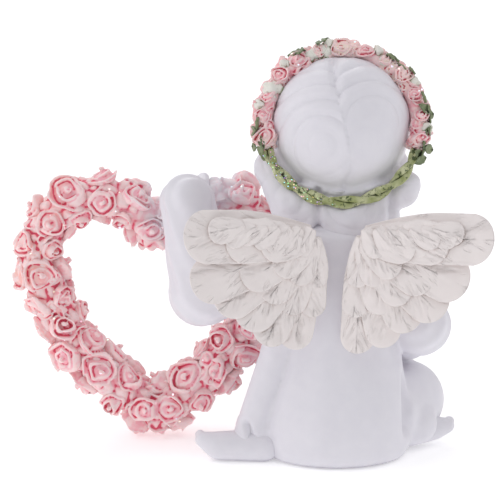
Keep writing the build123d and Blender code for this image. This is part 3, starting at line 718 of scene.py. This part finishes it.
# ---- heart wreath: its core of pressed petals --------------------------------------------------------------
# A heart of resin, all soft cushions and curled petals pressed together. It is painted pale pink over rose red,
# so that red stays only in the sharp recesses. White paint has drifted onto it from the hand that holds it.
CUSHION = 2.7 * MM
CUSHION_H = 0.85 * MM
PETAL_COUNT = 170
SMALL_ROSE_COUNT = 70
OVERSPRAY_REACH = 8.5 * MM
SPREAD = 0.9 * MM
SAG = 1.5 * MM
core_low, core_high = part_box("wreath_core")
wreath_draw = Random(5)

# specks of glitter: a mask of scattered round flakes, and their colours
group_inputs = {"Share": 0.03, "Scale": 1500.0, "Colour": 0.16}
glitter_group, given, result = group_sockets("glitter", group_inputs, {"Mask": "Float", "Tint": "Color"})
where = add(glitter_group, "TexCoord", {})["Object"]
flakes = add(glitter_group, "TexVoronoi", {"Vector": where, "Scale": given["Scale"]})
channels = add(glitter_group, "SeparateColor", {"Color": flakes["Color"]})
chosen = reckon(glitter_group, "LESS_THAN", channels[0], given["Share"])
inside = reckon(glitter_group, "LESS_THAN", flakes["Distance"], 0.36)
tint = add(glitter_group, "CombineColor", {0: channels[1], 1: given["Colour"], 2: 1.0}, mode="HSV")[0]
wire(result, {"Mask": reckon(glitter_group, "MULTIPLY", chosen, inside), "Tint": tint})


def strewn(tree, shader, paint, mask, tint, rough):
    """Glitter over a paint, by a mask: bright metal flakes in a rougher surface, which also glow with a painted
    glint.
    """
    # painted glint: the flakes emit light in their own tint
    painted_glint = reckon(tree, "MULTIPLY", mask, 0.45)
    wire(shader, {"Base Color": mixed(tree, mask, paint, tint), "Metallic": mask})
    wire(shader, {"Emission Color": tint, "Emission Strength": painted_glint})
    wire(shader, {"Roughness": remap(tree, mask, 0, 1, rough, 0.25)})


def brushed_petals(name, pale, body, deep, warm, share):
    """Dry-brushed petals: deep paint in the hollows, body colour, pale ridges, warmer on some blooms."""
    material, tree, shader = new_material(name)
    texture = use_group(tree, grain_group, Depth=0.02 * MM)
    flecks = use_group(tree, glitter_group, Share=share)
    uneven = remap(tree, noise_at(tree, 1.3 * MM), 0, 1, -0.24, 0.24)
    level = reckon(tree, "ADD", attribute(tree, "relief")["Fac"], uneven)
    paint = mixed(tree, attribute(tree, "bloom_tone")["Fac"], body, warm)
    paint = mixed(tree, soft_step(tree, level, 0.46, 0.66), paint, pale)
    paint = mixed(tree, remap(tree, texture["Patch"], 0.40, 0.66, 0, 0.6), paint, pale)
    paint = mixed(tree, soft_step(tree, level, 0.34, 0.12), paint, deep)
    paint = mixed(tree, attribute(tree, "overspray")["Fac"], paint, WHITE)
    strewn(tree, shader, paint, flecks["Mask"], flecks["Tint"], 0.52)
    wire(shader, {"Normal": texture["Normal"], "Subsurface Weight": 0.25})
    wire(shader, {"Subsurface Radius": (1.0, 0.45, 0.4), "Subsurface Scale": 0.6 * MM})
    return material


PALE_PINK = (0.95, 0.72, 0.72)
BODY_PINK = (0.93, 0.45, 0.52)
PEACH = (0.94, 0.54, 0.46)
DEEP_ROSE = (0.76, 0.09, 0.16)
wreath_paint = brushed_petals("wreath_petals", PALE_PINK, BODY_PINK, DEEP_ROSE, PEACH, 0.02)


def petal(across, up, thick):
    """A flat closed petal blank from its root at v = 0 to its lip at v = 1, with u from -1 to 1."""
    shape = bmesh.new()
    bmesh.ops.create_grid(shape, x_segments=across, y_segments=up, size=0.5)
    bmesh.ops.solidify(shape, geom=shape.faces, thickness=thick)
    for point in shape.verts:
        point.co.x *= 2
        point.co.y += 0.5
    return shape


def cupped(blank, turn, span, root_r, belly_r, lip_r, root_z, lip_z, roll):
    """Bends a petal blank round the z axis: from its root over a full belly to its lip, which rolls outward."""
    for point in blank.verts:
        u, v, layer = point.co
        angle = turn + span * u
        radius = root_r * (1 - v) ** 2 + 2 * belly_r * v * (1 - v) + lip_r * v * v
        radius += roll * ease(0.70, 1.0, v) + 0.07 * lip_r * u + layer * sqrt(1 - 0.8 * u**6)
        lift = root_z + (lip_z - root_z) * v * (1 - 0.20 * u**4) - 0.5 * roll * ease(0.78, 1.0, v)
        point.co = Vector((radius * cos(angle), radius * sin(angle), lift))
    bmesh.ops.recalc_face_normals(blank, faces=blank.faces)
    return blank


def spiral_bud(radius, height, turns, steps, thick):
    """The rolled heart of a rose: one strip wound into a spiral."""
    blank = petal(steps, 3, thick)
    for point in blank.verts:
        u, v, layer = point.co
        share = (u + 1) / 2
        angle = 2 * pi * turns * share
        reach = radius * (0.22 + 0.78 * share) * (0.85 + 0.15 * v) + layer
        point.co = Vector((reach * cos(angle), reach * sin(angle), height * (v * (1.06 - 0.12 * share)) - 0.2))
    bmesh.ops.recalc_face_normals(blank, faces=blank.faces)
    return blank


ROSE_RINGS = (
    (3, 1.30, 0.55, 1.26, 0.92, -0.34, 0.42, 0.12),
    (2, 1.65, 0.36, 0.84, 0.55, -0.15, 0.62, 0.07),
)
ROSE_FLOOR = (0.80, 0.80, 0.40)


def rose_mesh(full, draw):
    """A rose of radius 1 on z = 0, its foot below: full ones have two rings of petals, small ones have one."""
    shape = bmesh.new()
    for ring in (0, 1) if full else (0,):
        count, span, *profile = ROSE_RINGS[ring]
        first = draw.uniform(0, 2 * pi)
        for number in range(count):
            turn = first + 2 * pi * number / count + draw.uniform(-0.25, 0.25)
            root_r, belly_r, lip_r, root_z, lip_z, roll = profile
            lip_r *= draw.uniform(0.78, 1.10)
            lip_z *= draw.uniform(0.65, 1.2)
            roll *= draw.uniform(0.2, 2.4)
            blank = petal(10, 7, 0.15) if full else petal(6, 5, 0.18)
            absorb(shape, cupped(blank, turn, span, root_r, belly_r, lip_r, root_z, lip_z, roll))
    absorb(shape, spiral_bud(0.29 if full else 0.42, 0.86, 1.2, 14, 0.12))
    bmesh.ops.create_icosphere(shape, subdivisions=3, radius=1.0, matrix=Matrix.Diagonal((*ROSE_FLOOR, 1)))
    return shape


def seat(shape, mesh, point, outward, turn, size):
    """Stands a copy of a mesh on a surface, at that size."""
    first = len(shape.verts)
    shape.from_mesh(mesh)
    shape.verts.ensure_lookup_table()
    basis = outward.to_track_quat("Z", "Y").to_matrix().to_4x4()
    place = Matrix.Translation(point) @ basis @ Matrix.Rotation(turn, 4, "Z") @ Matrix.Diagonal((*size, 1))
    bmesh.ops.transform(shape, matrix=place, verts=shape.verts[first:])


def stored(shape, name):
    """Keeps a bmesh as a mesh to be copied many times."""
    mesh = bpy.data.meshes.new(name)
    shape.to_mesh(mesh)
    shape.free()
    return mesh


def loose_parts(node):
    """The corners of each separate solid of a CAD node."""
    shape = merged(node)
    waiting = set(shape.verts)
    parts = []
    while waiting:
        front = [waiting.pop()]
        part = []
        while front:
            vert = front.pop()
            part.append(vert.co.copy())
            for edge in vert.link_edges:
                other = edge.other_vert(vert)
                if other in waiting:
                    waiting.remove(other)
                    front.append(other)
        parts.append(part)
    shape.free()
    return sorted(parts, key=lambda part: tuple(part[0]))


def surface_of(node):
    """A search tree of a CAD node's surface."""
    shape = merged(node)
    tree = BVHTree.FromBMesh(shape)
    shape.free()
    return tree


def seats_on(tree, node):
    """Where each solid of a node stands on a surface: its foot, its outward line, its radius and its height."""
    found = []
    for part in loose_parts(node):
        middle = sum(part, Vector()) / len(part)
        foot = tree.find_nearest(middle)[0]
        outward = (middle - foot).normalized()
        spread = max((corner - middle - outward * (corner - middle).dot(outward)).length for corner in part)
        found.append((foot, outward, spread, max((corner - foot).dot(outward) for corner in part)))
    return found


def peach_side(point):
    """More peach on the wreath's outer side, in patches."""
    share = (point.x - core_low.x) / (core_high.x - core_low.x)
    return min(1.0, max(0.0, 0.8 * ease(0.74, 1.0, share) + 0.6 * noise.noise(point * 170) - 0.1))


def warp(place, feature, amount):
    """A smooth random shift, so that no two blooms keep one shape."""
    return Vector([noise.noise(place / feature + Vector((11 * i, 7, 3))) for i in range(3)]) * amount


def cast(stock, voxel, span, tone_at):
    """Melts pressed petals into one cast skin, and marks its hollows, its ridges and its tones for the paint."""
    shape = clay(stock, voxel, 2)
    relief_layer = shape.verts.layers.float.new("relief")
    tone_layer = shape.verts.layers.float.new("bloom_tone")
    shape.normal_update()
    shape.verts.index_update()
    points = shape.verts[:]
    around = [[edge.other_vert(point).index for edge in point.link_edges] for point in points]
    heights = []
    for point, near in zip(points, around):
        middle = sum((points[i].co for i in near), Vector()) / len(near)
        heights.append((point.co - middle).dot(point.normal))
    for turn in range(2):
        heights = [
            (2 * heights[i] + sum(heights[j] for j in near)) / (2 + len(near)) for i, near in enumerate(around)
        ]
    for point, height in zip(points, heights):
        point[relief_layer] = min(1.0, max(0.0, 0.5 + height / span))
        point[tone_layer] = tone_at(point.co)
    return shape


hand_tree = surface_of("left_hand")


def overspray(shape):
    """Marks where white paint has drifted from the hand: 1 beside it, and 0 beyond the paint's reach."""
    layer = shape.verts.layers.float.new("overspray")
    for point in shape.verts:
        gap = hand_tree.find_nearest(point.co)[3] + 2.4 * MM * noise.noise(point.co * 300)
        point[layer] = 0.85 * ease(OVERSPRAY_REACH, 3 * MM, gap)


def settle(shape):
    """Spreads a wreath piece towards the angel's left, and lets the point of the heart sag."""
    for point in shape.verts:
        aside = ease(0.35, 1.0, (point.co.x - core_low.x) / (core_high.x - core_low.x))
        down = 1 - ease(0.0, 0.38, (point.co.z - core_low.z) / (core_high.z - core_low.z))
        point.co += Vector((SPREAD * aside, 0, -SAG * down))


def cushion(place):
    """The height of the pressed cushions over the core: 1 on a cushion, 0 in the creases between them."""
    near, far = noise.voronoi(place / CUSHION)[0][:2]
    return ease(0.0, 0.42, far - near)


core_tree = surface_of("wreath_core")
rows = {row: seats_on(core_tree, "wreath_roses_" + row) for row in ("rim", "back", "inner", "front")}
seats = [seat_ for row in rows.values() for seat_ in row]
core = clay(merged("wreath_core"), 0.40 * MM, 4)
push(core, lambda place, outward: outward * CUSHION_H * (cushion(place) - 0.55 + 0.5 * noise.noise(place * 200)))
core_faces = core.faces[:]
curled = stored(cupped(petal(8, 6, 0.18), 0, 1.15, 0.30, 1.10, 0.72, -0.40, 0.55, 0.16), "curled_petal")
small_roses = [stored(rose_mesh(False, wreath_draw), "small_rose") for number in range(3)]
filler = bmesh.new()
placed = 0
while placed < PETAL_COUNT + SMALL_ROSE_COUNT:
    spot = wreath_draw.choice(core_faces)
    middle = spot.calc_center_median()
    crowd = min((middle - foot).length / spread for foot, outward, spread, tall in seats)
    if crowd < 0.55:
        continue
    turn = wreath_draw.uniform(0, 2 * pi)
    tip = Vector([wreath_draw.uniform(-0.35, 0.35) for i in range(3)])
    if placed < PETAL_COUNT:
        size = wreath_draw.uniform(1.3, 2.4) * MM
        where_at = middle - spot.normal * 0.30 * MM
        seat(filler, curled, where_at, (spot.normal + tip).normalized(), turn, (size, size, size * 0.9))
    elif crowd > 0.85:
        size = wreath_draw.uniform(1.1, 1.7) * MM
        rose = wreath_draw.choice(small_roses)
        seat(filler, rose, middle, (spot.normal + tip).normalized(), turn, (size, size, size * 1.05))
    placed += 1
absorb(core, filler)
core = cast(core, 0.27 * MM, 0.040 * MM, peach_side)
overspray(core)
settle(core)
part = piece("pressed_petals", core, wreath_paint)
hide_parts("wreath_core")


# ---- wreath roses ------------------------------------------------------------------------------------------
# Open roses stand round the heart in four rows: on its outer rim, its back, its inner edge and its front. Each
# is a full round bloom of thick cupped petals over a rolled bud, painted as the petals between them are.
rose_paint = brushed_petals("rose_petals", PALE_PINK, BODY_PINK, DEEP_ROSE, PEACH, 0.008)
large_roses = [stored(rose_mesh(True, wreath_draw), "large_rose") for number in range(5)]
for row, row_seats in rows.items():
    bunch = bmesh.new()
    for foot, outward, spread, tall in row_seats:
        radius = spread * wreath_draw.uniform(0.78, 1.08)
        tip = Vector([wreath_draw.uniform(-0.35, 0.35) for i in range(3)])
        size = (radius, radius * wreath_draw.uniform(0.78, 1.0), tall * wreath_draw.uniform(1.25, 1.5))
        turn = wreath_draw.uniform(0, 2 * pi)
        seat(bunch, wreath_draw.choice(large_roses), foot, (outward + tip).normalized(), turn, size)
    push(bunch, lambda place, outward: warp(place, 3.2 * MM, 0.95 * MM))
    bunch = cast(bunch, 0.20 * MM, 0.045 * MM, peach_side)
    overspray(bunch)
    settle(bunch)
    part = piece("roses_" + row, bunch, rose_paint)
    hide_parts("wreath_roses_" + row)


# ---- crown: twisted vine and flower ring -------------------------------------------------------------------
# Two olive strands twist round the nape, with dark green spots, near-black green painted shade in the grooves
# between them, and glitter on the left. Over the head the ring is crowded with ragged small roses, pale buds and
# dark green leaves.
CROWN_TILT = radians(29)
BAND_R = 1.7 * MM
PALE_BUDS = ((84, 1.2), (118, 2.2), (158, 1.7), (168, 1.8), (213, 1.4), (221, 1.2))
LEAF_PLACES = (70, 76, 84, 152, 168, 214, 230, 258, 264, 278, 288, 294)
CREAM_PLACES = (72, 166, 184, 216, 232)
BLOOM_COUNT = 150
band_low, band_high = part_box("crown_band")
crown_r = (band_high.x - band_low.x) / 2 - BAND_R
crown_centre = Vector(
    (
        (band_high.x + band_low.x) / 2,
        band_low.y + BAND_R + crown_r * sin(CROWN_TILT),
        band_high.z - BAND_R - crown_r * cos(CROWN_TILT),
    )
)
crown_back = Vector((0, sin(CROWN_TILT), -cos(CROWN_TILT)))
crown_axis = Vector((0, cos(CROWN_TILT), sin(CROWN_TILT)))
crown_draw = Random(8)


def round_crown(angle, off=0.0, rise=0.0):
    """A point by the crown's line: 0 is the nape, a quarter turn is the angel's left."""
    radial = Vector((1, 0, 0)) * sin(angle) + crown_back * cos(angle)
    return crown_centre + radial * (crown_r + off) + crown_axis * rise, radial


def crown_angle(point):
    """Where a point is round the crown, in degrees from 0 to 360."""
    away = point - crown_centre
    return degrees(atan2(away.x, away.dot(crown_back))) % 360


def cream(point):
    """How pale and cream-coloured the crown's blooms are at a place, in patches."""
    angle = crown_angle(point)
    share = sum(bell(angle - middle, 9) for middle in CREAM_PLACES) + 0.7 * noise.noise(point * 300)
    return min(1.0, max(0.0, share))


vine_material, tree, shader = new_material("vine_paint")
texture = use_group(tree, grain_group, Depth=0.05 * MM)
recess_shade = use_group(tree, recess_shade_group, Reach=0.8 * MM, Start=0.34, End=0.56)
flecks = use_group(tree, glitter_group, Share=0.30, Scale=2600.0, Colour=0.5)
spots = remap(tree, noise_at(tree, 1.1 * MM, 4.0, 0.65), 0.54, 0.60)
paint = mixed(tree, remap(tree, texture["Patch"], 0.35, 0.65), (0.31, 0.35, 0.13), (0.60, 0.62, 0.38))
paint = mixed(tree, spots, paint, (0.07, 0.10, 0.03))
# painted shade: near-black green where the strands are shut in
paint = mixed(tree, recess_shade["Mask"], paint, (0.035, 0.055, 0.012))
sparkle = reckon(tree, "MULTIPLY", flecks["Mask"], attribute(tree, "sparkle")["Fac"])
strewn(tree, shader, paint, sparkle, flecks["Tint"], 0.45)
wire(shader, {"Normal": texture["Normal"]})
for name in ("a", "b"):
    stock = merged("crown_vine_" + name)
    for number in range(6):
        angle = radians(-58 + 22 * number + (9 if name == "b" else 0))
        side = 1 if number % 2 else -1
        point, radial = round_crown(angle, 0.4 * MM, side * 1.3 * MM)
        aim = (radial + crown_axis * side * 1.2).to_track_quat("Z", "Y").to_matrix().to_4x4()
        stub = Matrix.Translation(point) @ aim
        bmesh.ops.create_cone(
            stock, cap_ends=True, segments=12, radius1=0.50 * MM, radius2=0.25 * MM, depth=1.4 * MM, matrix=stub
        )
    strand = clay(stock, 0.2 * MM, 5)
    push(strand, lambda place, outward: outward * MM * (0.12 + 0.14 * noise.noise(place * 700)))
    layer = strand.verts.layers.float.new("sparkle")
    for point in strand.verts:
        patch = 0.25 + noise.noise(point.co * 260) + 0.5 * ease(0, 10 * MM, point.co.x - crown_centre.x)
        point[layer] = ease(-2 * MM, 7 * MM, point.co.x - crown_centre.x) * ease(0.2, 0.5, patch)
    part = piece("twisted_vine_" + name, strand, vine_material)
    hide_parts("crown_vine_" + name)

crown_petals = brushed_petals(
    "crown_petals", (0.90, 0.66, 0.66), (0.88, 0.38, 0.44), (0.55, 0.06, 0.10), (0.88, 0.76, 0.67), 0.03
)
band_tree = surface_of("crown_band")
band = clay(merged("crown_band"), 0.3 * MM, 3)
push(band, lambda place, outward: outward * (0.35 * MM * noise.noise(place * 500)))
bloom = bmesh.new()
band_faces = band.faces[:]
placed = 0
while placed < BLOOM_COUNT:
    spot = crown_draw.choice(band_faces)
    middle = spot.calc_center_median()
    if (middle - head_centre).length < hair_r - 0.2 * MM:
        continue
    tip = Vector([crown_draw.uniform(-0.5, 0.5) for i in range(3)])
    size = crown_draw.uniform(0.8, 1.45) * MM
    mesh = crown_draw.choice((curled, curled, *small_roses))
    turn = crown_draw.uniform(0, 2 * pi)
    where_at = middle - spot.normal * 0.2 * MM
    seat(bloom, mesh, where_at, (spot.normal + tip).normalized(), turn, (size, size, size))
    placed += 1
absorb(band, bloom)
part = piece("flower_ring", cast(band, 0.17 * MM, 0.035 * MM, cream), crown_petals)
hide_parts("crown_band")

for row in ("back", "front"):
    bunch = bmesh.new()
    for foot, outward, spread, tall in seats_on(band_tree, "crown_roses_" + row):
        size = spread * crown_draw.uniform(0.95, 1.2)
        turn = crown_draw.uniform(0, 2 * pi)
        tip = Vector([crown_draw.uniform(-0.35, 0.35) for i in range(3)])
        rose = crown_draw.choice(large_roses)
        seat(bunch, rose, foot, (outward + tip).normalized(), turn, (size, size * 0.8, size * 1.1))
    push(bunch, lambda place, outward: warp(place, 1.7 * MM, 0.5 * MM))
    part = piece("crown_blooms_" + row, cast(bunch, 0.15 * MM, 0.035 * MM, cream), crown_petals)
    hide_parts("crown_roses_" + row)

# painted shade in the recesses: olive in the pale buds, near black in the dark leaves
bud_paint = painted_resin(
    "bud_paint", (0.84, 0.82, 0.78), (0.77, 0.77, 0.68), (0.22, 0.27, 0.11), 0.8, 0.22, 0.7
)
leaf_paint = painted_resin(
    "leaf_paint", (0.07, 0.115, 0.06), (0.36, 0.40, 0.22), (0.01, 0.02, 0.015), 0.8, 0.3, 0.8
)
buds = bmesh.new()
bud_places = [
    (foot + outward * 0.4 * spread, 1.25 * spread)
    for foot, outward, spread, tall in seats_on(band_tree, "crown_buds")
]
bud_places += [(round_crown(radians(angle), 0.3 * MM, 0.9 * MM)[0], size * MM) for angle, size in PALE_BUDS]
for middle, radius in bud_places:
    radial = (middle - crown_centre).normalized()
    aim = radial.to_track_quat("Z", "Y").to_matrix().to_4x4()
    for number in range(5):
        scallop = Matrix.Translation(middle) @ aim @ Matrix.Rotation((number + 0.3) * 0.4 * pi, 4, "Z")
        scallop = scallop @ Matrix.Translation((radius * 0.45, 0, crown_draw.uniform(-0.4, 0.15) * radius))
        scallop = scallop @ Matrix.Diagonal((radius * 0.45, radius * 0.55, radius * 0.75, 1))
        bmesh.ops.create_icosphere(buds, subdivisions=3, radius=1.0, matrix=scallop)
push(buds, lambda place, outward: warp(place, 1.2 * MM, 0.45 * MM))
part = piece("pale_buds", buds, bud_paint)
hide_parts("crown_buds")

leaves = bmesh.new()
leaf_blank = petal(6, 8, 0.16)
for point in leaf_blank.verts:
    u, v, layer = point.co
    width = 0.52 * sin(pi * min(1.0, v * 0.92 + 0.08)) ** 0.8
    point.co = Vector((width * u, v * 1.5, layer + 0.16 * abs(u) - 0.20 * v * v + 0.03 * sin(14 * v)))
bmesh.ops.recalc_face_normals(leaf_blank, faces=leaf_blank.faces)
leaf_mesh = stored(leaf_blank, "leaf")
for place_angle in LEAF_PLACES:
    for number in range(3):
        angle = radians(place_angle + crown_draw.uniform(-3, 3))
        point, radial = round_crown(angle, crown_draw.uniform(1.3, 2.4) * MM, crown_draw.uniform(0.4, 2.4) * MM)
        lean = (radial + crown_axis * crown_draw.uniform(-0.2, 0.9)).normalized()
        size = crown_draw.uniform(1.3, 2.0) * MM
        seat(leaves, leaf_mesh, point, lean, crown_draw.uniform(0, 2 * pi), (size, size, size))
part = piece("crown_leaves", leaves, leaf_paint)
